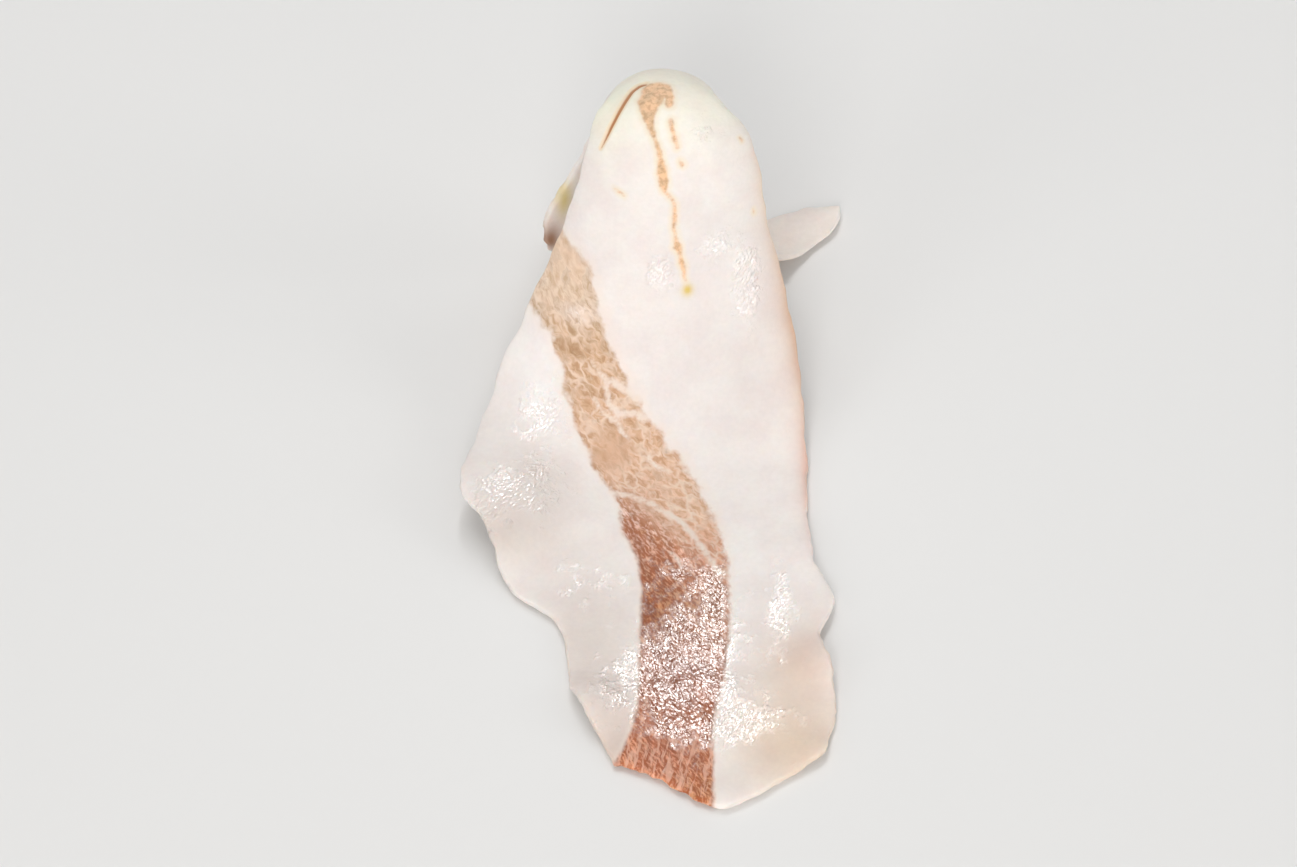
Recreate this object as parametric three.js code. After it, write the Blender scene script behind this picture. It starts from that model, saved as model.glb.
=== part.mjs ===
// A thin slice of guanciale, cured pork jowl, lying the way it fell when it was laid down.
// The front stretch lies on the table with ruffled sides. Behind it the slice climbs into an
// open standing loop, drops down steeply and ends in a short foot that flares out on the table.
// Millimetres, +Z up, the front cut edge towards -Y, the underside's flat patches at Z = 0.
// The origin is the middle of the slice's footprint.
//
// The slice is drawn flat first. A flat place is (across, along): across is the distance to the
// right of the slice's middle line, along is the distance from the front cut edge.
import * as THREE from "three";

const THICKNESS = 1.4;
const ROW_SPACING = 2; // length of the slice that one row of faces covers
const SPLIT_GAP = 0.3; // between the lean streak and the fat beside it
const EDGE_BULGE = 0.35; // how far a cut edge is rounded outwards

// The bends along the slice: each is where it starts, its length and how far it turns.
const RISE = { start: 44, length: 40, turn: 62 };
const CROWN = { start: 103, length: 42, turn: -168 };
const FLARE_LENGTH = 18; // the bend at the back, from the steep leg to the foot
const PROFILE_STEP = 0.25;

// The two cut edges: how far each stands back from the slice's full length, across the slice.
const FULL_LENGTH = 182;
const END_FADE = 38; // how far from an end the rows still follow its cut edge
const FRONT_SET_BACK = [
  [-8.5, 7.4],
  [-4, 6],
  [0, 3.5],
  [6.5, 0],
  [12, 2.5],
  [20, 8],
  [21.5, 9.8],
];
const TAIL_SET_BACK = [
  [-18, 9],
  [-12, 6.5],
  [0, 4.5],
  [12, 3],
  [20, 1],
  [26, 0],
];

// The two long edges, as (row, across). A row is a place along the slice, before the set back.
const LEFT_EDGE = [
  [0, -8.5],
  [14, -14.5],
  [28, -16],
  [33, -18],
  [39, -24.5],
  [46, -27],
  [55, -31.6],
  [64, -30],
  [77, -26],
  [91, -20.5],
  [102, -16.8],
  [111, -14.6],
  [119, -13],
  [125, -10.6],
  [131, -9.8],
  [140, -11.6],
  [149, -15.4],
  [158, -18.6],
  [168, -20],
  [182, -18],
];
const RIGHT_EDGE = [
  [0, 21.5],
  [8, 23],
  [20, 22.2],
  [28, 21],
  [36, 23.2],
  [44, 20.2],
  [68, 19.6],
  [84, 18.2],
  [98, 15.8],
  [108, 14.2],
  [116, 13.2],
  [121, 12],
  [125, 9.4],
  [130, 6],
  [136, 6],
  [142, 8.6],
  [150, 11.2],
  [161, 12],
  [168, 14.5],
  [174, 20.8],
  [178, 25],
  [182, 26],
];

// The lean streak's two sides, as (row, across). It runs from the front cut edge to the left one.
const STREAK_LEFT = [
  [0, -8.6],
  [4, -7.1],
  [12, -5.5],
  [24, -5.2],
  [42, -5.2],
  [49, -7.8],
  [55, -8.6],
  [58, -11],
  [67, -15],
  [79, -18.8],
  [82, -22.6],
  [86, -28],
];
const STREAK_RIGHT = [
  [0, 5.5],
  [14, 5.5],
  [22, 7.1],
  [31, 8],
  [42, 7.9],
  [52, 5.6],
  [60, 2],
  [69, -4.5],
  [78, -9.3],
  [85, -11.6],
  [91, -13.5],
  [94, -18.5],
  [98, -24],
];
// The rows where the left fat starts and ends, and where the streak ends. Both end blunt.
const FAT_LEFT_ROWS = { first: 2, last: 82 };
const STREAK_END = 94;

// How strongly the sides are bent inwards, as (along, curvature in 1/mm), and about which line.
const HOOD_BEND = [
  [46, 0],
  [60, 0.003],
  [70, 0.013],
  [78, 0.026],
  [98, 0.058],
  [112, 0.074],
  [119, 0.08],
  [127, 0.102],
  [138, 0.06],
  [156, 0.02],
  [170, 0],
];
const HOOD_AXIS = [
  [78, -1.5],
  [106, -0.7],
  [126, -1.8],
  [148, -0.5],
];

// The ruffles: soft swellings along the normal, and hollows where the height is negative.
const BILLOWS = [
  { along: 56, across: -27, length: 15, width: 12, height: 8 },
  { along: 32, across: -14, length: 9, width: 9, height: -3 },
  { along: 17, across: -14, length: 8, width: 7, height: 3.6 },
  { along: 25, across: 25, length: 6, width: 8, height: 4.4 },
  { along: 46, across: 20, length: 9, width: 7, height: 3 },
  { along: 34, across: 23, length: 6, width: 6, height: 2 },
  { along: 19, across: 3, length: 7, width: 14, height: 2.6 },
  { along: 45, across: 0, length: 9, width: 12, height: 2.6 },
  { along: 8, across: 22, length: 6, width: 7, height: 2.6 },
  { along: 180, across: 22, length: 8, width: 9, height: 2.6 },
  { along: 172, across: -16, length: 9, width: 8, height: 2.4 },
];
const SETTLE = 1; // how far the spots between the ruffles are pressed onto the table
const LIFT_OFF = 2; // height over which the underside leaves the table

const { clamp, lerp, degToRad, smoothstep } = THREE.MathUtils;

// A smooth curve through (place, value) points, level beyond both ends.
function curveThrough(points) {
  const last = points.length - 1;
  const slopeAt = (i) => {
    const before = points[Math.max(i - 1, 0)];
    const after = points[Math.min(i + 1, last)];
    return (after[1] - before[1]) / (after[0] - before[0]);
  };
  return (place) => {
    const held = clamp(place, points[0][0], points[last][0]);
    let i = 0;
    while (i < last - 1 && held > points[i + 1][0]) i += 1;
    const span = points[i + 1][0] - points[i][0];
    const t = (held - points[i][0]) / span;
    return (
      points[i][1] * (1 + 2 * t) * (1 - t) ** 2 +
      slopeAt(i) * span * t * (1 - t) ** 2 +
      points[i + 1][1] * t ** 2 * (3 - 2 * t) -
      slopeAt(i + 1) * span * t ** 2 * (1 - t)
    );
  };
}

const leftEdge = curveThrough(LEFT_EDGE);
const rightEdge = curveThrough(RIGHT_EDGE);
const streakLeft = curveThrough(STREAK_LEFT);
const streakRight = curveThrough(STREAK_RIGHT);
const frontSetBack = curveThrough(FRONT_SET_BACK);
const tailSetBack = curveThrough(TAIL_SET_BACK);
const hoodBend = curveThrough(HOOD_BEND);
const hoodAxis = curveThrough(HOOD_AXIS);

// How far the slope has turned through a bend, in radians.
function turned(bend, along) {
  return degToRad(bend.turn) * smoothstep(along, bend.start, bend.start + bend.length);
}

// The slice's side view, one entry for each step along it: slope, distance back and height.
// The flare starts where the steep leg is just high enough for the foot to land on the table.
function sideView() {
  const steepest = degToRad(RISE.turn + CROWN.turn);
  const flareSlope = (gone) => steepest * (1 - smoothstep(gone, 0, FLARE_LENGTH));
  let flareDrop = 0;
  for (let gone = 0; gone < FLARE_LENGTH; gone += PROFILE_STEP) {
    flareDrop -= Math.sin(flareSlope(gone)) * PROFILE_STEP;
  }
  const view = [];
  let flareStart = Infinity;
  let back = 0;
  let height = 0;
  for (let along = 0; along <= FULL_LENGTH + PROFILE_STEP; along += PROFILE_STEP) {
    const crownDone = along > CROWN.start + CROWN.length;
    if (crownDone && height <= flareDrop) flareStart = Math.min(flareStart, along);
    const slope =
      along < flareStart ? turned(RISE, along) + turned(CROWN, along) : flareSlope(along - flareStart);
    view.push({ slope, back, height });
    back += Math.cos(slope) * PROFILE_STEP;
    height = along < flareStart + FLARE_LENGTH ? height + Math.sin(slope) * PROFILE_STEP : 0;
  }
  return view;
}

const SIDE_VIEW = sideView();

function sideViewAt(along) {
  const step = clamp(along / PROFILE_STEP, 0, SIDE_VIEW.length - 2);
  const i = Math.floor(step);
  const from = SIDE_VIEW[i];
  const to = SIDE_VIEW[i + 1];
  return {
    slope: lerp(from.slope, to.slope, step - i),
    back: lerp(from.back, to.back, step - i),
    height: lerp(from.height, to.height, step - i),
  };
}

// The place along the slice of a row, once the two cut edges' slant is taken into account.
function alongAt(row, across) {
  const front = frontSetBack(across) * (1 - smoothstep(row, 0, END_FADE));
  const tail = tailSetBack(across) * smoothstep(row, FULL_LENGTH - END_FADE, FULL_LENGTH);
  return row + front - tail;
}

function ruffle(across, along) {
  let height = -SETTLE;
  for (const billow of BILLOWS) {
    const down = (along - billow.along) / billow.length;
    const over = (across - billow.across) / billow.width;
    height += billow.height * Math.exp(-down * down - over * over);
  }
  return height;
}

// Keeps a height above the table: level zero below it, then a soft lift-off.
function aboveTable(height) {
  if (height <= 0) return 0;
  if (height < LIFT_OFF) return (height * height) / (2 * LIFT_OFF);
  return height - LIFT_OFF / 2;
}

// The middle of the slice's thickness at a flat place.
function middleAt(across, along) {
  const { slope, back, height } = sideViewAt(along);
  const bend = Math.max(hoodBend(along), 1e-6);
  const angle = (across - hoodAxis(along)) * bend;
  const inwards = (2 * Math.sin(angle / 2) ** 2) / bend;
  const out = ruffle(across, along) - inwards;
  return new THREE.Vector3(
    hoodAxis(along) + Math.sin(angle) / bend,
    back - Math.sin(slope) * out,
    THICKNESS / 2 + aboveTable(height + Math.cos(slope) * out),
  );
}

// The directions across and along the slice at a flat place, and its upward normal.
function directionsAt(across, along) {
  const reach = 0.02;
  const sideways = middleAt(across + reach, along).sub(middleAt(across - reach, along)).normalize();
  const forwards = middleAt(across, along + reach).sub(middleAt(across, along - reach)).normalize();
  const normal = new THREE.Vector3().crossVectors(sideways, forwards).normalize();
  return { sideways, forwards, normal };
}

// One layer of the slice as a closed solid, from its left side to its right side and from its
// first row to its last. Each outer side named in rounded is a cut edge and bulges a little.
function layerGeometry({ left, right, firstRow, lastRow, columns, rounded }) {
  const rows = Math.round((lastRow - firstRow) / ROW_SPACING);
  const positions = [];
  const indices = [];
  const faces = { upper: [], lower: [] };
  const rim = [];

  const addPoint = (point) => positions.push(point.x, point.y, point.z) / 3 - 1;

  const bulgeAt = (i, j, { sideways, forwards }) => {
    const outwards = new THREE.Vector3();
    if (j === 0 && rounded.includes("left")) outwards.sub(sideways);
    if (j === columns && rounded.includes("right")) outwards.add(sideways);
    if (i === 0 && rounded.includes("front")) outwards.sub(forwards);
    if (i === rows && rounded.includes("back")) outwards.add(forwards);
    return outwards.normalize().multiplyScalar(EDGE_BULGE);
  };

  for (let i = 0; i <= rows; i += 1) {
    const row = lerp(firstRow, lastRow, i / rows);
    for (let j = 0; j <= columns; j += 1) {
      const across = lerp(left(row), right(row), j / columns);
      const along = alongAt(row, across);
      const middle = middleAt(across, along);
      const directions = directionsAt(across, along);
      const half = directions.normal.clone().multiplyScalar(THICKNESS / 2);
      faces.upper.push(addPoint(middle.clone().add(half)));
      faces.lower.push(addPoint(middle.clone().sub(half)));
      if (i === 0 || i === rows || j === 0 || j === columns) {
        rim[i * (columns + 1) + j] = addPoint(middle.add(bulgeAt(i, j, directions)));
      }
    }
  }

  const addQuad = (a, b, c, d) => indices.push(a, b, c, a, c, d);
  for (let i = 0; i < rows; i += 1) {
    for (let j = 0; j < columns; j += 1) {
      const a = i * (columns + 1) + j;
      const corners = [a, a + 1, a + columns + 2, a + columns + 1];
      addQuad(...corners.map((k) => faces.upper[k]));
      addQuad(...corners.map((k) => faces.lower[k]).reverse());
    }
  }

  const outline = [];
  for (let j = 0; j < columns; j += 1) outline.push(j);
  for (let i = 0; i < rows; i += 1) outline.push(i * (columns + 1) + columns);
  for (let j = columns; j > 0; j -= 1) outline.push(rows * (columns + 1) + j);
  for (let i = rows; i > 0; i -= 1) outline.push(i * (columns + 1));
  outline.forEach((from, k) => {
    const to = outline[(k + 1) % outline.length];
    addQuad(faces.lower[from], faces.lower[to], rim[to], rim[from]);
    addQuad(rim[from], rim[to], faces.upper[to], faces.upper[from]);
  });

  const geometry = new THREE.BufferGeometry();
  geometry.setAttribute("position", new THREE.Float32BufferAttribute(positions, 3));
  geometry.setIndex(indices);
  geometry.computeVertexNormals();
  return geometry;
}

const fat = new THREE.MeshStandardMaterial({ color: 0xeee3dd, roughness: 0.4, metalness: 0 });
const lean = new THREE.MeshStandardMaterial({ color: 0xd39c78, roughness: 0.45, metalness: 0 });

function layer(name, material, shape) {
  const mesh = new THREE.Mesh(layerGeometry(shape), material);
  mesh.name = name;
  return mesh;
}

const besideGap = SPLIT_GAP / 2;
const slice = new THREE.Group();
slice.add(
  layer("fat_left", fat, {
    left: leftEdge,
    right: (row) => streakLeft(row) - besideGap,
    firstRow: FAT_LEFT_ROWS.first,
    lastRow: FAT_LEFT_ROWS.last,
    columns: 8,
    rounded: ["left", "front", "back"],
  }),
  layer("lean_streak", lean, {
    left: (row) => Math.max(streakLeft(row) + besideGap, leftEdge(row)),
    right: (row) => streakRight(row) - besideGap,
    firstRow: 0,
    lastRow: STREAK_END,
    columns: 5,
    rounded: ["front"],
  }),
  layer("fat_right", fat, {
    left: (row) => Math.max(streakRight(row) + besideGap, leftEdge(row)),
    right: rightEdge,
    firstRow: 0,
    lastRow: FULL_LENGTH,
    columns: 12,
    rounded: ["right", "front", "back"],
  }),
);

// The footprint's middle becomes the origin. The underside is already at Z = 0.
const footprint = new THREE.Box3().setFromObject(slice).getCenter(new THREE.Vector3());
slice.position.set(-footprint.x, -footprint.y, 0);

export default slice;
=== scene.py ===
# A thin slice of guanciale: one continuous sheet of cured fat with its marbled lean streak.
# The tables are in millimetres, and MM turns them into metres. A flat place on the slice is
# (across, along), as in the CAD model: across is the distance to the right of the slice's
# middle line, and along is the distance from the front cut edge.
import math

import bpy
import numpy as np
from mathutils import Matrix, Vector


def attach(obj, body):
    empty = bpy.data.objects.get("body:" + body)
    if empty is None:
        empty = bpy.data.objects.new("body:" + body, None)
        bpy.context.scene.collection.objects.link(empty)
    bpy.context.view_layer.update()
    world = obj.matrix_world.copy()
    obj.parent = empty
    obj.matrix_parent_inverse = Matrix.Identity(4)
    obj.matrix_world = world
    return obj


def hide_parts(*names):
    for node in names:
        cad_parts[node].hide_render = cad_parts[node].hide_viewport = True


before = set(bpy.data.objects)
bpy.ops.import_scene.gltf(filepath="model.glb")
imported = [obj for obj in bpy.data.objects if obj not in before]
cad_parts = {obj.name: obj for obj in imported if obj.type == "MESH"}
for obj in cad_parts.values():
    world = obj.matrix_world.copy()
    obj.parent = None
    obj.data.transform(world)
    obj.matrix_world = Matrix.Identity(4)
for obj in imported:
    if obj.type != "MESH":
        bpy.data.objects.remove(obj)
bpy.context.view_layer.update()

MM = 0.001
THICKNESS = 1.4
SHEET_SHIFT = (2.881, -56.257)  # from the sheet's own origin to the middle of the footprint
ROW_STEP = 0.45
COLUMNS = 108

# The form, as in the CAD model
RISE = (44, 40, 62)  # start, length and turn in degrees
CROWN = (103, 42, -168)
FLARE_LENGTH = 18
PROFILE_STEP = 0.25
FULL_LENGTH = 182
END_FADE = 38
FRONT_SET_BACK = [(-8.5, 7.4), (-4, 6), (0, 3.5), (6.5, 0), (12, 2.5), (20, 8), (21.5, 9.8)]
TAIL_SET_BACK = [(-18, 9), (-12, 6.5), (0, 4.5), (12, 3), (20, 1), (26, 0)]
LEFT_EDGE = [
    (0, -8.5), (14, -14.5), (28, -16), (33, -18), (39, -24.5), (46, -27), (55, -31.6), (64, -30),
    (77, -26), (91, -20.5), (102, -16.8), (111, -14.6), (119, -13), (125, -10.6), (131, -9.8),
    (140, -11.6), (149, -15.4), (158, -18.6), (168, -20), (182, -18),
]
RIGHT_EDGE = [
    (0, 21.5), (8, 23), (20, 22.2), (28, 21), (36, 23.2), (44, 20.2), (68, 19.6), (84, 18.2),
    (98, 15.8), (108, 14.2), (116, 13.2), (121, 12), (125, 9.4), (130, 6), (136, 6),
    (142, 8.6), (150, 11.2), (161, 12), (168, 14.5), (174, 20.8), (178, 25), (182, 26),
]
STREAK_LEFT = [
    (0, -8.6), (4, -7.1), (12, -5.5), (24, -5.2), (42, -5.2), (49, -7.8), (55, -8.6), (58, -11),
    (67, -15), (79, -18.8), (82, -22.6), (86, -28),
]
STREAK_RIGHT = [
    (0, 5.5), (14, 5.5), (22, 7.1), (31, 8), (42, 7.9), (52, 5.6), (60, 2), (69, -4.5),
    (78, -9.3), (85, -11.6), (91, -13.5), (94, -18.5), (98, -24),
]
STREAK_END = 97  # the last row that the lean streak reaches
HOOD_BEND = [
    (46, 0), (60, 0.003), (70, 0.013), (78, 0.026), (98, 0.058), (112, 0.074), (119, 0.08),
    (127, 0.102), (138, 0.06), (156, 0.02), (170, 0),
]
FLATTEST_BEND = 1e-6  # stands for no bend, because nothing can be divided by 0
HOOD_AXIS = [(78, -1.5), (106, -0.7), (126, -1.8), (148, -0.5)]
BILLOWS = [  # along, across, length, width and height
    (56, -27, 15, 12, 8), (32, -14, 9, 9, -3), (17, -14, 8, 7, 3.6), (25, 25, 6, 8, 4.4),
    (46, 20, 9, 7, 3), (34, 23, 6, 6, 2), (19, 3, 7, 14, 2.6), (45, 0, 9, 12, 2.6),
    (8, 22, 6, 7, 2.6), (180, 22, 8, 9, 2.6), (172, -16, 9, 8, 2.4),
]
SETTLE = 1
LIFT_OFF = 2

# How uneven the cut is
LONG_EDGE_WAVER = 0.16
END_WAVER = 0.2
END_WAVER_REACH = 8
EDGE_THINNING = 0.22  # share of the thickness that is gone at the cut edges
THINNING_REACH = 0.7
THICKNESS_WAVER = 0.05
EDGE_BULGE = 0.35
BULGE_WAVER = 0.35
RING_ANGLES = [-60, -30, 0, 30, 60]
OUTLINE_STEP = 4  # rows from one point of the outline to the next
END_POINTS = 30  # points of the outline on the front edge, and as many on the tail
FAR_OUTSIDE = -9.0  # the depth given to places that are farther than this from every line

# The low relief on both faces
FAT_SWELL = 0.1
FAT_RIPPLE = 0.012
DARK_LEAN_BUNDLES = 0.05
PALE_LEAN_BUNDLES = 0.02
BUNDLE_TURN = (52, 66)  # from the dark lean's bundles to the pale lean's, by place along
VEIN_RISE = 0.12
LEAN_DROP = 0.1
SLIT_DEPTH = 0.28

# The lean turns from dark to pale over a slanted stretch, measured by along + SLANT * across
SLANT = 1.05
TURN = (44.0, 50.0)
WIDE_TURN = (40.0, 58.0)
BORDER_TURN = (30.0, 56.0)
SCALLOP_TURN = (40, 56)
DARK_SCALLOPS = 0.12
PALE_SCALLOPS = 0.28

# Marks on the meat, as (across, along, half width)
WHITE_VEINS = [
    [(-9.6, 55.9, 0.4), (-7.4, 55.6, 0.35), (-5.1, 54.7, 0.35), (-2.9, 53.6, 0.4),
     (-0.8, 51.9, 0.45), (1.1, 50.2, 0.45), (2.5, 48, 0.45), (3.9, 45.7, 0.4), (5.4, 43.2, 0.35),
     (6.8, 40.8, 0.3)],
    [(-12.6, 76.4, 0.1), (-11.4, 75.1, 0.2), (-10.4, 73.9, 0.45), (-8.9, 73.2, 0.6),
     (-7.2, 72.2, 0.55), (-5.5, 71, 0.7)],
    [(-10.3, 73.6, 0.4), (-10.2, 71.8, 0.4), (-9.8, 70, 0.4), (-8.2, 68.6, 0.55), (-6, 68.9, 0.5),
     (-4.6, 68, 0.6)],
    [(-12.1, 70.9, 0.15), (-11, 68.8, 0.2), (-8.6, 67.3, 0.3), (-8.1, 66.1, 0.25), (-7, 65.1, 0.1)],
    [(-3.9, 61.9, 0.3), (-2.2, 60.4, 0.4), (-0.6, 59.6, 0.2)],
    [(-0.8, 44.6, 0.1), (0.4, 43.2, 0.3), (1, 42, 0.15)],
]
THREAD = [
    (-3.2, 120.4, 1.6), (-2.3, 120.2, 1.6), (-3.6, 118.4, 1.7), (-3.8, 116.2, 1),
    (-3.4, 113.8, 0.4), (-2.5, 111.3, 0.25), (-2, 109, 0.4), (-1.8, 107.2, 0.75),
    (-1.6, 105.4, 0.65), (-1.4, 104, 0.25), (0, 102.2, 0.15), (0, 100, 0.25), (-0.2, 98.4, 0.2),
    (0.2, 96.6, 0.2), (0.4, 95.2, 0.6), (0.8, 93.8, 0.2), (1.1, 92.5, 0.45), (1.4, 91, 0.25),
    (1.6, 89.8, 0.1),
]
SIDE_THREADS = [
    [(-1.4, 120.4, 0.9), (-0.9, 119.2, 0.7), (-0.8, 117.6, 0.5)],
    [(-0.6, 115, 0.3), (-0.3, 113.4, 0.25), (0, 112, 0.3), (0.3, 110.8, 0.15)],
    [(0.8, 108.8, 0.1), (1.1, 108.2, 0.25)],
    [(-8.9, 103.6, 0.05), (-8.1, 103.1, 0.15), (-7.4, 102.8, 0.05)],
    [(10.4, 112.4, 0.05), (10.9, 111.5, 0.15)],
    [(12.9, 98.9, 0.1), (13, 98.5, 0.15)],
]
SLIT = [
    (-4.2, 122.2, 0.2), (-5.3, 122, 0.3), (-6.3, 121.2, 0.3), (-8.1, 117.6, 0.3),
    (-9.8, 114.3, 0.25), (-11.6, 110.2, 0.05),
]

# Places that glisten, as (along, across, length, width, strength)
GLISTENING = [
    (23, 1.5, 12, 7.5, 1), (41, 2, 4, 7, 0.34), (35, 6, 7, 2, 0.55), (14, 11, 4, 8, 0.52),
    (34, 15.8, 8, 2.5, 0.55), (91, -2, 3, 2.5, 0.7), (88, 11, 6, 2.2, 0.9), (95, 6, 3, 3, 0.6),
    (113, 3.5, 2.5, 2, 0.5), (69, -20, 5, 4, 0.55), (55, -22, 6, 5, 0.6), (51, -28, 4, 3, 0.6),
    (39, -13, 5, 5, 0.35), (20, -9, 6, 4, 0.35),
]

# Where the pale lean is smooth, with hardly any net of fat, given in the same way
SMOOTH_LEAN = [(63, -9.5, 5, 4.5, 1), (94, -18, 9, 9, 1), (76, -17.5, 8, 2.5, 0.5)]

# Colours are given as they look, in 0 to 255
FAT_COLOUR = (245, 237, 231)
LEAN_COLOURS = [  # along, then the colour
    (0, (194, 124, 78)), (9, (198, 124, 80)), (20, (196, 124, 82)), (34, (190, 126, 84)),
    (44, (214, 152, 118)), (52, (236, 195, 165)), (64, (217, 175, 142)), (78, (211, 173, 138)),
    (86, (226, 198, 170)), (96, (234, 203, 176)),
]
FAT_TINTS_AND_PAINTED_LIGHT = [  # along, across, length, width, colour and strength; most rows are painted light and shade, each marked where it stands
    # Painted light: the crown and the strip of the back leg beside it glow cream, as if lit through
    # from behind (this line and the next)
    (123, 0, 11, 30, (254, 248, 227), 0.8),
    (121, -11, 9, 4, (252, 249, 226), 0.7),
    # Painted shade with a warm cast: the two front corners darker (this line and the next two)
    (10, 17, 10, 9, (231, 203, 174), 0.8),
    (24, 18, 9, 6, (226, 198, 176), 0.7),
    (8, -9, 12, 6, (216, 193, 177), 0.8),
    (36, 15, 7, 6, (242, 233, 227), 0.5),
    # Painted shade on the underside of the left ruffle (this line and the next)
    (46.5, -25, 5, 8, (210, 196, 184), 0.7),
    (55, -21, 7, 7, (210, 198, 190), 0.65),
    # Painted shade, toning down the upper middle of the rise
    (99, 3, 9, 9, (232, 226, 220), 0.5),
    (74, -20, 8, 5, (250, 247, 244), 0.5),
    # Painted shade: the right of the rise, the lower left and the middle of the rise darker (this
    # line and the next two)
    (72, 11, 12, 6, (230, 219, 211), 0.6),
    (29, -13, 13, 8, (219, 205, 194), 0.65),
    (76, 4, 18, 14, (226, 220, 216), 0.55),
    # Painted light: the tail brighter and warmer, as if lit through
    (172, 0, 16, 40, (250, 234, 220), 0.7),
    (154.5, -17.4, 3.5, 1.1, (226, 206, 118), 0.8),
    # A painted brown wedge for the shaded gap between the two legs
    (163.5, -19.2, 3, 1.4, (156, 104, 62), 0.9),
    (88.2, 1.9, 0.9, 0.75, (222, 194, 76), 1),
]
LEAN_TINTS_AND_SHEEN = [  # given in the same way; the last two rows hold painted sheen
    (36, -3.5, 10, 4, (164, 92, 42), 0.75),
    (8, -2, 5, 6, (196, 122, 94), 0.5),
    (49, -6.5, 7, 4, (182, 124, 98), 0.75),
    (83, -14.6, 1.2, 2.6, (250, 236, 226), 0.9),
    # A paler peach band along the dark lean's right border, partly the meat's own colour and partly
    # painted sheen
    (30, 7.2, 15, 1.5, (224, 180, 156), 0.6),
    # Painted sheen: a pale pinkish haze where the lean glistens most
    (22, 1, 7, 5, (206, 168, 160), 0.4),
]
RIGHT_EDGE_SHADE_AND_REFLECTION = [  # along, length, reach from the edge, colour and strength: painted shade where the sheet turns away, and a painted reddish reflection lower down
    (60, 11, 0.9, (222, 162, 134), 0.6),
    (80, 14, 2, (214, 174, 142), 0.9),
    (100, 12, 1.4, (232, 202, 166), 0.6),
]
SPECK_COLOUR = (168, 146, 128)
NET_COLOUR = (244, 222, 202)
PALE_LINE_COLOUR = (234, 186, 150)
STEEP_LINE_COLOUR = (236, 184, 158)
BORDER_FAT_COLOUR = (244, 226, 212)
VEIN_COLOUR = (242, 226, 213)
THREAD_HALO_COLOUR = (242, 224, 196)
THREAD_COLOURS = ((240, 198, 154), (218, 172, 130))
SLIT_HALO_COLOUR = (238, 206, 160)
SLIT_COLOUR = (184, 120, 68)
FLOOR_COLOUR = (228, 226, 223)

# The studio, in metres
FLOOR_HALF = 3
FLOOR_DEPTH = 0.0001  # below the slice, so that the two faces don't meet
SKY_COLOUR = (0.96, 0.98, 1.0, 1.0)
SKY_STRENGTH = 0.4
LIGHT_TARGET = (0, 0, 0.01)
LIGHTS = [  # name, place, size and power
    ("key", (-0.15, -0.9, 0.66), (0.5, 0.5), 4.4),
    ("low", (0.45, -0.95, 0.1), (0.2, 0.2), 1.5),
    ("top", (-0.25, 0.42, 1.0), (0.35, 0.35), 2.2),
    ("left", (-0.8, -0.6, 0.4), (0.5, 0.5), 1.6),
    ("right", (0.9, -0.1, 0.4), (0.4, 0.4), 1.3),
]
GLOSS_LIGHTS = [  # these only make the meat glisten
    ("gloss_behind", (0.015, 0.655, 0.92), (0.08, 0.5), 30),
    ("gloss_right", (0.64, 0.37, 0.67), (0.2, 0.2), 4),
    ("gloss_front", (-0.07, -1.1, 0.14), (0.22, 0.22), 10),
    ("gloss_side", (0.83, -0.65, 0.14), (0.22, 0.22), 10),
]
CAMERA_ELEVATION = 52
CAMERA_DISTANCE = 0.7
CAMERA_TARGET = (-0.001, 0.0, 0.0155)
CAMERA_LENS = 131
CAMERA_CLIP_START = 0.01


def curve_through(points):
    """A smooth curve through (place, value) points, level beyond both ends."""
    places, values = np.array(points, float).T
    last = len(places) - 1
    before = np.maximum(np.arange(last + 1) - 1, 0)
    after = np.minimum(np.arange(last + 1) + 1, last)
    slopes = (values[after] - values[before]) / (places[after] - places[before])

    def value_at(place):
        held = np.clip(place, places[0], places[-1])
        i = np.clip(np.searchsorted(places, held) - 1, 0, last - 1)
        span = places[i + 1] - places[i]
        t = (held - places[i]) / span
        return (
            values[i] * (1 + 2 * t) * (1 - t) ** 2
            + slopes[i] * span * t * (1 - t) ** 2
            + values[i + 1] * t**2 * (3 - 2 * t)
            - slopes[i + 1] * span * t**2 * (1 - t)
        )

    return value_at


left_edge = curve_through(LEFT_EDGE)
right_edge = curve_through(RIGHT_EDGE)
streak_left = curve_through(STREAK_LEFT)
streak_right = curve_through(STREAK_RIGHT)
front_set_back = curve_through(FRONT_SET_BACK)
tail_set_back = curve_through(TAIL_SET_BACK)
hood_bend = curve_through(HOOD_BEND)
hood_axis = curve_through(HOOD_AXIS)


def smoothstep(x, low, high):
    t = np.clip((x - low) / (high - low), 0, 1)
    return t * t * (3 - 2 * t)


def waves(x, y, length, seed, count=28):
    """Smooth noise, mostly from -1 to 1, with bumps about length apart."""
    rng = np.random.default_rng(seed)
    total = np.zeros(np.broadcast(x, y).shape)
    for _ in range(count):
        angle, phase = rng.uniform(0, 2 * np.pi, 2)
        pitch = 2 * np.pi / (length * rng.uniform(0.7, 1.5))
        total += np.cos(pitch * (np.cos(angle) * x + np.sin(angle) * y) + phase)
    return total / np.sqrt(count)


def soft_patch(across, along, place, side, length, width):
    """A soft oval patch on the flat slice, 1 at its middle and fading outwards."""
    return np.exp(-(((along - place) / length) ** 2) - ((across - side) / width) ** 2)


def unit(vectors):
    return vectors / np.linalg.norm(vectors, axis=-1, keepdims=True)


def linear(colour):
    """A colour in 0 to 255 as linear light."""
    c = np.array(colour, float) / 255
    return np.where(c <= 0.04045, c / 12.92, ((c + 0.055) / 1.055) ** 2.4)


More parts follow.
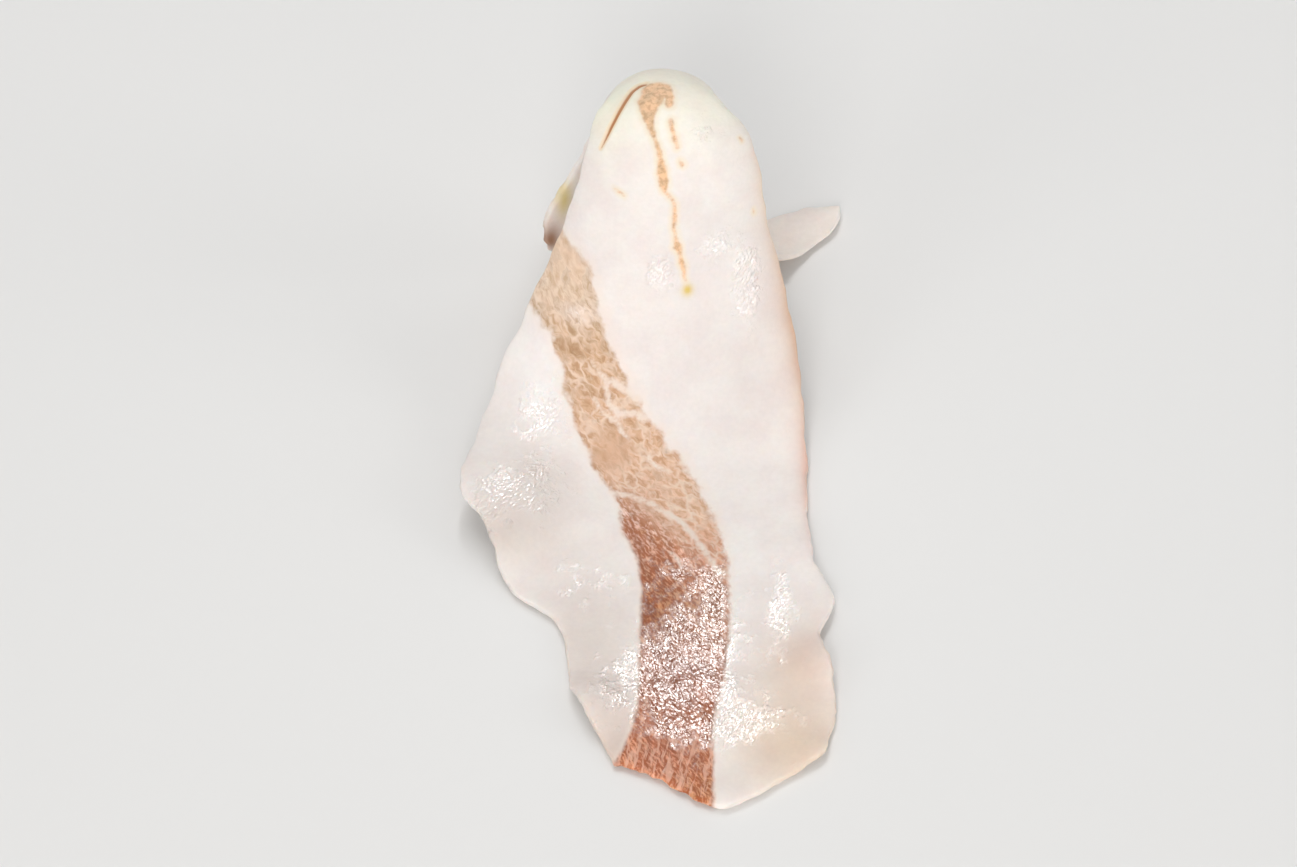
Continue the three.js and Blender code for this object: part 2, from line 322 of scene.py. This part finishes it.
def side_view():
    """The slice's side view at each step along it: place along, slope, distance back, height."""
    along = np.arange(0, FULL_LENGTH + 2 * PROFILE_STEP, PROFILE_STEP)

    def turned(bend):
        start, length, turn = bend
        return math.radians(turn) * smoothstep(along, start, start + length)

    def summed(rates):
        return np.concatenate([[0], np.cumsum(rates)[:-1]]) * PROFILE_STEP

    steepest = math.radians(RISE[2] + CROWN[2])
    gone = np.arange(0, FLARE_LENGTH, PROFILE_STEP)
    flare_drop = -np.sin(steepest * (1 - smoothstep(gone, 0, FLARE_LENGTH))).sum() * PROFILE_STEP
    slope = turned(RISE) + turned(CROWN)
    low_enough = (along > CROWN[0] + CROWN[1]) & (summed(np.sin(slope)) <= flare_drop)
    flare_start = along[low_enough][0]
    flare = steepest * (1 - smoothstep(along - flare_start, 0, FLARE_LENGTH))
    slope = np.where(along < flare_start, slope, flare)
    height = summed(np.sin(slope))
    height[along >= flare_start + FLARE_LENGTH] = 0
    return along, slope, summed(np.cos(slope)), height


SIDE_VIEW = side_view()


def along_at(row, across):
    """The place along the slice of a row, which follows the cut edges near both ends."""
    front = front_set_back(across) * (1 - smoothstep(row, 0, END_FADE))
    tail = tail_set_back(across) * smoothstep(row, FULL_LENGTH - END_FADE, FULL_LENGTH)
    return row + front - tail


def middle_at(across, along):
    """The middle of the slice's thickness at flat places, in millimetres."""
    slope, back, height = (np.interp(along, SIDE_VIEW[0], values) for values in SIDE_VIEW[1:])
    bend = np.maximum(hood_bend(along), FLATTEST_BEND)
    angle = (across - hood_axis(along)) * bend
    out = -SETTLE - 2 * np.sin(angle / 2) ** 2 / bend
    for place, side, length, width, swell in BILLOWS:
        out = out + swell * soft_patch(across, along, place, side, length, width)
    high = height + np.cos(slope) * out
    lifted = np.where(high < LIFT_OFF, high**2 / (2 * LIFT_OFF), high - LIFT_OFF / 2)
    lifted = np.where(high <= 0, 0, lifted)
    x = SHEET_SHIFT[0] + hood_axis(along) + np.sin(angle) / bend
    y = SHEET_SHIFT[1] + back - np.sin(slope) * out
    return np.stack([x, y, THICKNESS / 2 + lifted], -1)


def line_through(sides, line_rows):
    """A line of no width through flat places that are given by row."""
    sides, line_rows = np.broadcast_arrays(sides, line_rows)
    return np.stack([sides, along_at(line_rows, sides), np.zeros(sides.shape)], -1)


def depth_in(places, lines):
    """How deep each flat place is inside lines of (across, along, half width), outside negative."""
    deepest = np.full(places.shape[:-1], FAR_OUTSIDE)
    for line in lines:
        corners = np.array(line, float)
        for start, end in zip(corners[:-1], corners[1:]):
            step = end[:2] - start[:2]
            t = np.clip((places - start[:2]) @ step / max(step @ step, 1e-9), 0, 1)
            nearest = start[:2] + t[..., None] * step
            half = start[2] + t * (end[2] - start[2])
            gap = np.linalg.norm(places - nearest, axis=-1)
            deepest = np.maximum(deepest, half - gap)
    return deepest


# The grid of flat places, a little uneven along the cut edges
rows = np.linspace(0, FULL_LENGTH, round(FULL_LENGTH / ROW_STEP) + 1)
left = left_edge(rows) + LONG_EDGE_WAVER * waves(rows, 0, length=5, seed=11)
right = right_edge(rows) + LONG_EDGE_WAVER * waves(rows, 0, length=5, seed=12)
share = np.linspace(0, 1, COLUMNS + 1)
across = left[:, None] + (right - left)[:, None] * share
row = np.repeat(rows[:, None], COLUMNS + 1, 1)
near_front = 1 - smoothstep(row, 0, END_WAVER_REACH)
near_tail = smoothstep(row, FULL_LENGTH - END_WAVER_REACH, FULL_LENGTH)
end_waver = END_WAVER * waves(across, 0, length=4, seed=13)
along = along_at(row, across) + end_waver * (near_front - near_tail)
places = np.stack([across, along], -1)

# How far each place is from the cut edges, and how deep in the lean and in each kind of mark
outline = np.concatenate([
    line_through(left[::OUTLINE_STEP], rows[::OUTLINE_STEP]),
    line_through(np.linspace(left[-1], right[-1], END_POINTS), FULL_LENGTH),
    line_through(right[::-OUTLINE_STEP], rows[::-OUTLINE_STEP]),
    line_through(np.linspace(right[0], left[0], END_POINTS), 0),
])
edge_gap = -depth_in(places, [outline])
border_rows = np.arange(0, STREAK_END + 2, 1.0)
borders = [line_through(side(border_rows), border_rows) for side in (streak_left, streak_right)]
border_gap = -depth_in(places, borders)
in_streak = (across > streak_left(row)) & (across < streak_right(row)) & (row < STREAK_END)
pale_share = smoothstep(along + SLANT * across, *SCALLOP_TURN)
scallops = DARK_SCALLOPS + (PALE_SCALLOPS - DARK_SCALLOPS) * pale_share
scallops = scallops * waves(across, along, length=3.8, seed=21) * smoothstep(edge_gap, 0, 2)
streak = np.where(in_streak, border_gap, -border_gap) + scallops
vein = depth_in(places, WHITE_VEINS)
thread = depth_in(places, [THREAD, *SIDE_THREADS])
slit = depth_in(places, [SLIT])
lean_part = smoothstep(streak, -0.3, 0.5)


def relief(seed):
    """The low relief of one face: swells, halved on the lean, and its bundles and fibres."""
    pale = smoothstep(along, *BUNDLE_TURN)
    coarse = DARK_LEAN_BUNDLES + (PALE_LEAN_BUNDLES - DARK_LEAN_BUNDLES) * pale
    fat = FAT_SWELL * waves(across, along, length=9, seed=seed)
    fat = fat + FAT_RIPPLE * waves(across, along, length=2.6, seed=seed + 1)
    bundles = coarse * waves(across, along / 1.7, length=2.4, seed=seed + 2)
    fibres = coarse / 2 * waves(across + 0.4 * along, along / 5, length=1.3, seed=seed + 3)
    lean = bundles + fibres + VEIN_RISE * smoothstep(vein, -0.4, 0.3) - LEAN_DROP
    cut = SLIT_DEPTH * smoothstep(slit, -0.4, 0.15)
    return fat * (1 - 0.5 * lean_part) + lean * lean_part - cut


# Both faces
thinning = 1 - EDGE_THINNING * np.exp(-edge_gap / THINNING_REACH)
thickness = THICKNESS * (1 + THICKNESS_WAVER * waves(across, along, length=14, seed=31)) * thinning
middle = middle_at(across, along)
sideways = unit(np.gradient(middle, axis=1))
forwards = unit(np.gradient(middle, axis=0))
normal = unit(np.cross(sideways, forwards))
upper = middle + normal * (thickness / 2 + relief(seed=41))[..., None]
lower = middle - normal * (thickness / 2 + relief(seed=51))[..., None]

# The rim joins both faces with a rounded cut edge
index = np.arange(row.size).reshape(row.shape)
loop = np.concatenate([index[0, :-1], index[:-1, -1], index[-1, :0:-1], index[:0:-1, 0]])
upper, lower, middle, normal = (grid.reshape(-1, 3) for grid in (upper, lower, middle, normal))
ring_middle = (upper[loop] + lower[loop]) / 2
ring_half = (upper[loop] - lower[loop]) / 2
ring_run = np.roll(middle[loop], -1, 0) - np.roll(middle[loop], 1, 0)
ring_out = unit(np.cross(ring_run, normal[loop]))
ring_place = np.arange(len(loop)) * ROW_STEP
rings = []
for angle in map(math.radians, RING_ANGLES):
    ragged = 1 + BULGE_WAVER * waves(ring_place, angle * 2, length=2.2, seed=61)
    bulge = EDGE_BULGE * math.cos(angle) * ragged
    rings.append(ring_middle + math.sin(angle) * ring_half + ring_out * bulge[:, None])

points = np.concatenate([upper, lower, *rings])
points[:, 2] = np.maximum(points[:, 2], 0)
corners = index[:-1, :-1], index[:-1, 1:], index[1:, 1:], index[1:, :-1]
top_faces = np.stack([c.ravel() for c in corners], -1)
faces = [top_faces, top_faces[:, ::-1] + row.size]
ladders = [loop + row.size]
ladders += [2 * row.size + k * len(loop) + np.arange(len(loop)) for k in range(len(rings))]
ladders.append(loop)
for below, above in zip(ladders[:-1], ladders[1:]):
    faces.append(np.stack([below, np.roll(below, -1), np.roll(above, -1), above], -1))
faces = np.concatenate(faces)

slice_mesh = bpy.data.meshes.new("slice")
slice_mesh.from_pydata((points * MM).tolist(), [], faces.tolist())
slice_mesh.polygons.foreach_set("use_smooth", np.ones(len(faces), bool))


def on_all_points(values):
    """Values of the grid for every point of both faces and the rim."""
    flat = values.reshape(row.size, -1)
    return np.concatenate([flat, flat] + [flat[loop]] * len(rings))


def add_attribute(name, kind, values):
    attribute = slice_mesh.attributes.new(name, kind, "POINT")
    field = {"FLOAT": "value", "FLOAT_VECTOR": "vector", "FLOAT_COLOR": "color"}[kind]
    attribute.data.foreach_set(field, values.astype(np.float32).ravel())


def patches(list_of_patches):
    """The strength of (along, across, length, width, strength) patches, from 0 to 1."""
    total = sum(
        strength * soft_patch(across, along, place, side, length, width)
        for place, side, length, width, strength in list_of_patches
    )
    return np.clip(total, 0, 1)


def tinted(colours, colour, strength):
    return colours + strength[..., None] * (linear(colour) - colours)


def with_tints(colours, tints):
    """Colours with soft oval tints laid over them."""
    for place, side, length, width, colour, strength in tints:
        patch = soft_patch(across, along, place, side, length, width)
        colours = tinted(colours, colour, strength * patch)
    return colours


# What the material reads at each point: its flat place, and how deep it is in each mark
depths = [np.full(row.size, THICKNESS / 2), np.full(row.size, -THICKNESS / 2)]
depths += [np.full(len(loop), math.sin(math.radians(a)) * THICKNESS / 2) for a in RING_ANGLES]
flat_places = np.concatenate([on_all_points(places), np.concatenate(depths)[:, None]], 1)
add_attribute("flat", "FLOAT_VECTOR", flat_places)
for name, values in {
    "streak": np.clip(streak, -6, 6),
    "vein": np.clip(vein, -3, 3),
    "thread": np.clip(thread, -4, 4),
    "slit": np.clip(slit, -2, 2),
    "shine": patches(GLISTENING),
    "smooth": patches(SMOOTH_LEAN),
}.items():
    add_attribute(name, "FLOAT", on_all_points(values))

# The base colours of the fat and of the lean, with painted light and shade laid into them
fat_colours = with_tints(np.broadcast_to(linear(FAT_COLOUR), places.shape[:-1] + (3,)), FAT_TINTS_AND_PAINTED_LIGHT)
# Painted shade and a painted reflection along the right edge
right_gap = np.maximum(right_edge(row) - across, 0)
for place, length, reach, colour, strength in RIGHT_EDGE_SHADE_AND_REFLECTION:
    near = strength * np.exp(-(((row - place) / length) ** 2) - right_gap / reach)
    fat_colours = tinted(fat_colours, colour, near)
lean_places = [place for place, _ in LEAN_COLOURS]
lean_ramp = [
    np.interp(along, lean_places, [linear(colour)[channel] for _, colour in LEAN_COLOURS])
    for channel in range(3)
]
lean_colours = with_tints(np.stack(lean_ramp, -1), LEAN_TINTS_AND_SHEEN)
for name, colours in {"fat_colour": fat_colours, "lean_colour": lean_colours}.items():
    opaque = np.concatenate([colours, np.ones((*row.shape, 1))], -1)
    add_attribute(name, "FLOAT_COLOR", on_all_points(opaque))


class Graph:
    """Adds nodes to a material. An input is given a socket to link it to, or a value."""

    def __init__(self, material):
        material.use_nodes = True
        self.tree = material.node_tree
        self.tree.nodes.clear()

    def add(self, kind, inputs, output=0, **settings):
        node = self.tree.nodes.new(kind)
        for name, value in settings.items():
            setattr(node, name, value)
        for name, value in inputs.items():
            if isinstance(value, bpy.types.NodeSocket):
                self.tree.links.new(value, node.inputs[name])
            else:
                node.inputs[name].default_value = value
        return node.outputs[output] if len(node.outputs) else node

    def attribute(self, name, output="Fac"):
        return self.add("ShaderNodeAttribute", {}, output, attribute_name=name)

    def math(self, operation, a, b=0.0):
        return self.add("ShaderNodeMath", {0: a, 1: b}, operation=operation)

    def plus(self, a, b):
        return self.math("ADD", a, b)

    def times(self, a, b):
        return self.math("MULTIPLY", a, b)

    def vector(self, operation, a, b, output=0):
        return self.add("ShaderNodeVectorMath", {0: a, 1: b}, output, operation=operation)

    def dimmed(self, colour, factor):
        return self.add("ShaderNodeVectorMath", {0: colour, "Scale": factor}, operation="SCALE")

    def step(self, value, low, high, start=0.0, end=1.0):
        """Smoothly from start, where value is low, to end, where it is high."""
        inputs = {"Value": value, "From Min": low, "From Max": high, "To Min": start, "To Max": end}
        return self.add("ShaderNodeMapRange", inputs, interpolation_type="SMOOTHSTEP")

    def noise(self, place, scale, detail=2.0, roughness=0.5, output="Fac"):
        inputs = {"Vector": place, "Scale": scale, "Detail": detail, "Roughness": roughness}
        return self.add("ShaderNodeTexNoise", inputs, output)

    def cells(self, place, scale, feature="F1", output="Distance"):
        inputs = {"Vector": place, "Scale": scale}
        return self.add("ShaderNodeTexVoronoi", inputs, output, feature=feature)

    def mixed(self, a, b, factor):
        """From colour a to colour b."""
        return self.add("ShaderNodeMix", {0: factor, 6: a, 7: b}, 2, data_type="RGBA")

    def blend(self, a, b, factor):
        """From number a to number b."""
        return self.add("ShaderNodeMix", {0: factor, 2: a, 3: b}, 0, data_type="FLOAT")

    def stretched(self, place, angle, size):
        """Turned by angle, then divided by a size in millimetres along each turned axis."""
        inputs = {"Vector": place, "Rotation": (0, 0, math.radians(angle)), "Scale": size}
        return self.add("ShaderNodeMapping", inputs, vector_type="TEXTURE")

    def warped(self, place, scale, reach):
        """Pushed about by noise, so that what is laid on it wanders."""
        push = self.noise(place, scale, 1.0, output="Color")
        centred = self.vector("SUBTRACT", push, (0.5, 0.5, 0.5))
        return self.vector("ADD", place, self.dimmed(centred, reach))


def shade(colour):
    return (*linear(colour), 1.0)


def fat_look(g, place, fine):
    """Cloudy and faintly mottled, with a few tiny specks."""
    cloud = g.step(g.noise(place, 0.17, 3.0), 0.35, 0.68)
    colour = g.attribute("fat_colour", "Color")
    colour = g.mixed(colour, g.vector("MULTIPLY", colour, (0.965, 0.94, 0.945)), cloud)
    colour = g.dimmed(colour, g.step(fine, 0.3, 0.7, 0.98, 1.015))
    speck = g.step(g.cells(place, 0.11), 0.03, 0.018)
    chosen = g.step(g.cells(place, 0.11, output="Color"), 0.5, 0.56)
    return g.mixed(colour, shade(SPECK_COLOUR), g.times(g.times(speck, chosen), 0.7))


def strokes(g, place, angle, size, low=0.36, high=0.66):
    """Short slanted strokes of muscle, from 0 for dark to 1 for pale."""
    return g.step(g.noise(g.stretched(place, angle, size), 1.0, 2.0, 0.6), low, high)


def between_tones(g, base, dark, pale, factor):
    """From a darker, stronger tone of a colour to a paler, weaker one."""
    return g.mixed(g.vector("MULTIPLY", base, dark), g.vector("MULTIPLY", base, pale), factor)


def pale_lean_look(g, place, base, calm):
    """Soft bundles of muscle in a net of fat that has gone in places."""
    bundles = g.stretched(calm, 46, (1.5, 2.8, 3.0))
    gap = g.cells(bundles, 1.0, "DISTANCE_TO_EDGE")
    tone = g.cells(bundles, 1.0, output="Color")
    patchy = g.step(g.noise(place, 0.3, 2.0), 0.36, 0.6)
    netted = g.step(g.attribute("smooth"), 0.25, 0.9, 1.0, 0.12)
    colour = g.dimmed(base, g.step(tone, 0.15, 0.85, 0.94, 1.04))
    near_edge = g.step(gap, 0.45, 0.1)
    colour = between_tones(g, colour, (0.92, 0.88, 0.82), (1.03, 1.05, 1.08), near_edge)
    fibres = strokes(g, calm, 40, (0.45, 1.3, 1.2))
    fibres = g.blend(0.55, fibres, g.step(netted, 0.0, 1.0, 0.35, 1.0))
    colour = between_tones(g, colour, (0.86, 0.79, 0.72), (1.06, 1.1, 1.15), fibres)
    net = g.times(g.step(gap, 0.2, 0.0), g.plus(g.times(patchy, 0.45), 0.2))
    thin = strokes(g, calm, 44, (0.7, 1.9, 1.5), 0.56, 0.74)
    net = g.times(g.math("MAXIMUM", net, g.times(thin, 0.5)), netted)
    return g.mixed(colour, shade(NET_COLOUR), net)


def dark_lean_look(g, place, base, calm):
    """Close fibres in thin bundles, with broken pale lines between them, steep ones in front."""
    broad = g.noise(g.stretched(place, 24, (1.3, 4.5, 3.0)), 1.0, 2.0, 0.5)
    patchy = g.step(g.noise(place, 0.45, 2.0), 0.4, 0.62)
    colour = g.dimmed(base, g.step(broad, 0.34, 0.66, 0.88, 1.12))
    fibres = strokes(g, calm, 32, (0.36, 1.1, 1.1), 0.42, 0.7)
    colour = between_tones(g, colour, (0.74, 0.52, 0.34), (1.42, 1.85, 2.4), fibres)
    line = strokes(g, calm, 36, (0.45, 1.5, 1.3), 0.58, 0.68)
    line = g.times(line, g.plus(g.times(patchy, 0.4), 0.1))
    colour = g.mixed(colour, shade(PALE_LINE_COLOUR), line)
    steep_line = strokes(g, calm, -10, (0.55, 3.2, 1.3), 0.47, 0.62)
    front = g.step(g.add("ShaderNodeSeparateXYZ", {0: place}, "Y"), 15.0, 9.0)
    return g.mixed(colour, shade(STEEP_LINE_COLOUR), g.times(g.times(steep_line, front), 0.7))


def lean_look(g, place, slanted, border, ragged, shine):
    """Pale above the main vein, dark below it, dimmer at the border, and with painted shade where
    it glistens.
    """
    base = g.attribute("lean_colour", "Color")
    calm = g.warped(place, 0.5, 0.9)
    pale = pale_lean_look(g, place, base, g.warped(calm, 0.9, 1.3))
    dark = dark_lean_look(g, place, base, calm)
    colour = g.mixed(dark, pale, g.step(slanted, *TURN))
    colour = g.dimmed(colour, g.step(border, 0.05, 0.7, 0.93, 1.0))
    # Painted shade: the lean darker where it glistens, for the dark pits between the glinting
    # grains
    colour = g.dimmed(colour, g.blend(1.0, 0.76, shine))
    vein = g.step(g.plus(g.attribute("vein"), g.times(ragged, 0.9)), -0.38, 0.38)
    return g.mixed(colour, shade(VEIN_COLOUR), g.times(vein, 0.84))


def with_thread_and_slit(g, place, colour, ragged, fine):
    """The thin second streak near the crown, and the brown line beside it."""
    beads = g.plus(g.attribute("thread"), g.times(ragged, 0.5))
    colour = g.mixed(colour, shade(THREAD_HALO_COLOUR), g.step(beads, -1.0, 0.0, 0.0, 0.6))
    thread_colour = g.mixed(*map(shade, THREAD_COLOURS), g.step(fine, 0.45, 0.62))
    uneven = g.step(g.noise(place, 0.55, 2.0), 0.4, 0.7, 1.04, 0.84)
    thread_colour = g.dimmed(thread_colour, uneven)
    colour = g.mixed(colour, thread_colour, g.step(beads, -0.28, 0.28, 0.0, 0.95))
    slit = g.attribute("slit")
    colour = g.mixed(colour, shade(SLIT_HALO_COLOUR), g.step(slit, -0.7, -0.1, 0.0, 0.6))
    return g.mixed(colour, shade(SLIT_COLOUR), g.step(slit, -0.15, 0.14, 0.0, 0.95))


def fine_relief(g, place, slanted, in_lean, shine):
    """Relief too fine for the mesh, in millimetres, coarser where the meat glistens."""
    pebble = g.noise(place, 1.1, 3.0, 0.55)
    grain = g.noise(g.stretched(place, -35, (0.4, 0.75, 0.6)), 1.0, 1.0, 0.5)
    fat = g.plus(g.times(pebble, 0.02), g.times(grain, g.blend(0.02, 0.3, shine)))
    grit = g.noise(g.stretched(place, 42, (0.42, 0.7, 0.8)), 1.0, 1.0, 0.5)
    lean = g.times(grit, g.blend(g.step(slanted, *WIDE_TURN, 0.05, 0.03), 0.22, shine))
    return g.blend(fat, lean, in_lean)


def slice_material():
    material = bpy.data.materials.new("cured_jowl")
    g = Graph(material)
    place = g.attribute("flat", "Vector")
    fine = g.noise(place, 1.3, 4.0, 0.6)
    broken = g.times(g.plus(g.noise(place, 0.5, 3.0, 0.6), -0.5), 1.3)
    shine = g.step(g.plus(g.attribute("shine"), broken), 0.2, 0.54)
    slanted = g.vector("DOT_PRODUCT", place, (SLANT, 1, 0), "Value")

    # The border between lean and fat: ragged in the pale lean, and soft in the dark lean
    ragged = g.plus(g.noise(place, 1.1, 2.0), -0.5)
    ragged = g.times(ragged, g.step(slanted, *BORDER_TURN, 0.35, 1.2))
    border = g.plus(g.attribute("streak"), ragged)
    border = g.times(border, g.step(slanted, *WIDE_TURN, 1.0, 0.45))
    softness = g.step(slanted, *WIDE_TURN, 0.5, 0.26)
    in_lean_colour = g.step(border, g.times(softness, -1.0), softness)

    fat = fat_look(g, place, fine)
    fat = g.mixed(fat, shade(BORDER_FAT_COLOUR), g.step(border, -1.1, 0.0, 0.0, 0.45))
    lean = lean_look(g, place, slanted, border, ragged, shine)
    colour = g.mixed(fat, lean, in_lean_colour)
    colour = with_thread_and_slit(g, place, colour, ragged, fine)

    in_lean = g.step(border, -0.14, 0.3)
    height = fine_relief(g, place, slanted, in_lean, shine)
    roughness = g.blend(g.blend(0.82, 0.25, shine), g.blend(0.94, 0.25, shine), in_lean)
    shader = g.add("ShaderNodeBsdfPrincipled", {
        "Base Color": colour,
        "Roughness": g.plus(roughness, g.times(fine, 0.04)),
        "IOR": 1.45,
        "Subsurface Weight": 0.35,
        "Subsurface Radius": (1.0, 0.62, 0.45),
        "Subsurface Scale": 1.2 * MM,
        "Normal": g.add("ShaderNodeBump", {"Height": height, "Distance": MM, "Strength": 1.0}),
    })
    g.add("ShaderNodeOutputMaterial", {"Surface": shader})
    return material


def pale_floor_material():
    material = bpy.data.materials.new("pale_floor")
    g = Graph(material)
    inputs = {"Base Color": shade(FLOOR_COLOUR), "Roughness": 0.7}
    g.add("ShaderNodeOutputMaterial", {"Surface": g.add("ShaderNodeBsdfPrincipled", inputs)})
    return material


def add_object(name, data):
    made = bpy.data.objects.new(name, data)
    bpy.context.scene.collection.objects.link(made)
    return made


slice_mesh.materials.append(slice_material())
jowl_slice = add_object("slice", slice_mesh)
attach(jowl_slice, "root")
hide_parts("fat_left", "lean_streak", "fat_right")

# A plain pale floor
floor_mesh = bpy.data.meshes.new("floor")
floor_corners = [
    (x * FLOOR_HALF, y * FLOOR_HALF, -FLOOR_DEPTH)
    for x, y in ((-1, -1), (1, -1), (1, 1), (-1, 1))
]
floor_mesh.from_pydata(floor_corners, [], [(0, 1, 2, 3)])
floor_mesh.materials.append(pale_floor_material())
floor = add_object("floor", floor_mesh)

# Soft studio light
world = bpy.data.worlds.new("studio")
world.use_nodes = True
background = world.node_tree.nodes["Background"]
background.inputs["Color"].default_value = SKY_COLOUR
background.inputs["Strength"].default_value = SKY_STRENGTH
bpy.context.scene.world = world
bpy.context.scene.view_settings.view_transform = "Standard"


def aim(thing, target):
    direction = Vector(target) - thing.location
    thing.rotation_euler = direction.to_track_quat("-Z", "Y").to_euler()


def add_light(name, place, size, power):
    light = bpy.data.lights.new(name, "AREA")
    light.shape = "RECTANGLE"
    light.size, light.size_y = size
    light.energy = power
    lamp = add_object(name, light)
    lamp.location = place
    aim(lamp, LIGHT_TARGET)
    return lamp


for light_values in LIGHTS:
    add_light(*light_values)
for light_values in GLOSS_LIGHTS:
    add_light(*light_values).visible_diffuse = False

# The camera looks down at the slice at the photograph's angle
camera_data = bpy.data.cameras.new("camera")
camera_data.lens = CAMERA_LENS
camera_data.clip_start = CAMERA_CLIP_START
camera = add_object("camera", camera_data)
elevation = math.radians(CAMERA_ELEVATION)
towards_camera = Vector((0, -math.cos(elevation), math.sin(elevation)))
camera.location = Vector(CAMERA_TARGET) + CAMERA_DISTANCE * towards_camera
aim(camera, CAMERA_TARGET)
bpy.context.scene.camera = camera
